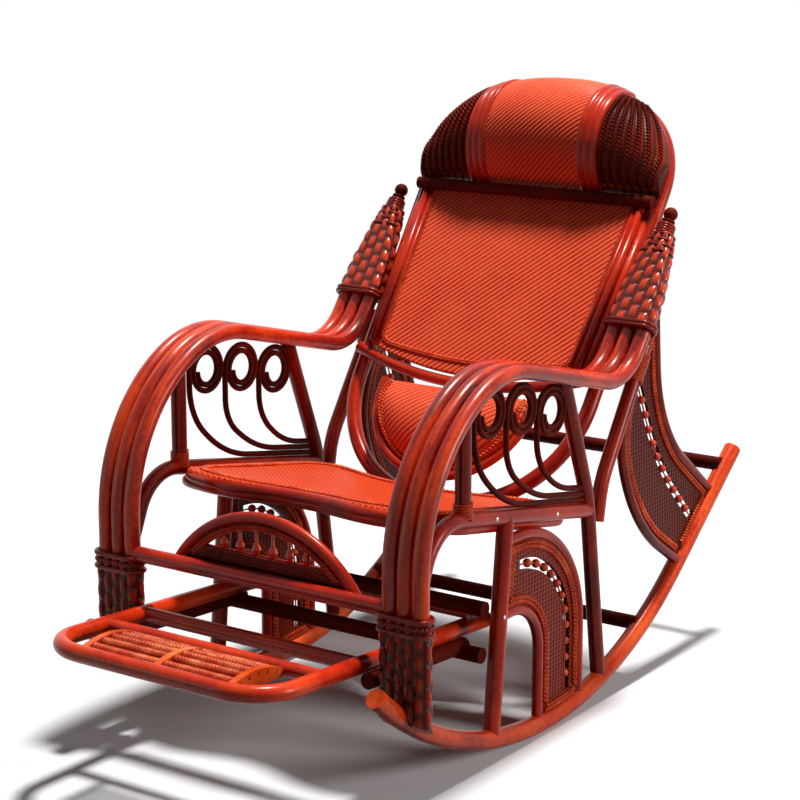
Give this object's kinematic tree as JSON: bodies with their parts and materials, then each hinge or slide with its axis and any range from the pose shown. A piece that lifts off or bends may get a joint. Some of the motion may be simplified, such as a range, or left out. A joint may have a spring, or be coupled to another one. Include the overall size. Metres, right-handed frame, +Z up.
{
  "type": "rattan rocking chair",
  "caption": "Bent-cane rocking chair with woven back, head pillow and seat, scroll arms, beaded side panels and a slide-out footrest with massage rollers.",
  "frame": {"origin": "On the floor, in the middle of the chair's bounding box.", "axes": "+Z is up, the sitter faces -Y, and +X is the sitter's left."},
  "size_m": [0.6612, 1.3577, 1.0362],
  "materials": {
    "rattan_pole": "gloss red-brown lacquer on smooth bent cane",
    "woven_cane": "lacquered woven cane strips",
    "turned_wood": "gloss lacquer on turned wood",
    "roller_wood": "lacquered ribbed wood",
    "board_wood": "lacquered board"
  },
  "bodies": {
    "chair": {"back_bottom_rail": "rattan_pole", "back_frame": "rattan_pole", "back_panel": "woven_cane", "finials": "turned_wood", "footrest_guides": "rattan_pole", "front_rail": "rattan_pole", "head_bar": "rattan_pole", "head_pillow": "woven_cane", "head_straps": "woven_cane", "left_arm_poles": "rattan_pole", "left_arm_post": "rattan_pole", "left_arm_scrolls": "rattan_pole", "left_back_strut": "rattan_pole", "left_fan_frame": "rattan_pole", "left_fan_weave": "woven_cane", "left_leg_sleeve": "woven_cane", "left_middle_leg": "rattan_pole", "left_panel_beads": "turned_wood", "left_post_sleeve": "woven_cane", "left_rear_leg": "rattan_pole", "left_runner": "rattan_pole", "left_seat_rail": "rattan_pole", "left_tail_frame": "rattan_pole", "left_tail_weave": "woven_cane", "lower_middle_rail": "rattan_pole", "lumbar_pad": "woven_cane", "lumbar_rim": "rattan_pole", "lunette_arch": "rattan_pole", "lunette_spindles": "turned_wood", "lunette_weave": "woven_cane", "rear_rails": "rattan_pole", "right_arm_poles": "rattan_pole", "right_arm_post": "rattan_pole", "right_arm_scrolls": "rattan_pole", "right_back_strut": "rattan_pole", "right_fan_frame": "rattan_pole", "right_fan_weave": "woven_cane", "right_leg_sleeve": "woven_cane", "right_middle_leg": "rattan_pole", "right_panel_beads": "turned_wood", "right_post_sleeve": "woven_cane", "right_rear_leg": "rattan_pole", "right_runner": "rattan_pole", "right_seat_rail": "rattan_pole", "right_tail_frame": "rattan_pole", "right_tail_weave": "woven_cane", "seat_bars": "rattan_pole", "seat_frame": "rattan_pole", "seat_weave": "woven_cane", "upper_middle_rail": "rattan_pole"},
    "footrest": {"footrest_loop": "rattan_pole", "footrest_bars": "rattan_pole", "roller_boards": "board_wood"},
    "roller_1": {"massage_roller_1": "roller_wood"},
    "roller_2": {"massage_roller_2": "roller_wood"},
    "roller_3": {"massage_roller_3": "roller_wood"},
    "roller_4": {"massage_roller_4": "roller_wood"},
    "roller_5": {"massage_roller_5": "roller_wood"}
  },
  "joints": [
    {"name": "footrest_slide", "type": "slide", "parent": "chair", "child": "footrest", "axis": [0, 0.998, -0.0628], "range_m": [0, 0.25]},
    {"name": "roller_1_spin", "type": "hinge", "parent": "footrest", "child": "roller_1", "pos_m": [0, -0.6315, 0.23964], "axis": [1, 0, 0], "continuous": true},
    {"name": "roller_2_spin", "type": "hinge", "parent": "footrest", "child": "roller_2", "pos_m": [0, -0.61028, 0.24255], "axis": [1, 0, 0], "continuous": true},
    {"name": "roller_3_spin", "type": "hinge", "parent": "footrest", "child": "roller_3", "pos_m": [0, -0.58923, 0.24264], "axis": [1, 0, 0], "continuous": true},
    {"name": "roller_4_spin", "type": "hinge", "parent": "footrest", "child": "roller_4", "pos_m": [0, -0.56836, 0.23991], "axis": [1, 0, 0], "continuous": true},
    {"name": "roller_5_spin", "type": "hinge", "parent": "footrest", "child": "roller_5", "pos_m": [0, -0.54767, 0.23436], "axis": [1, 0, 0], "continuous": true}
  ]
}
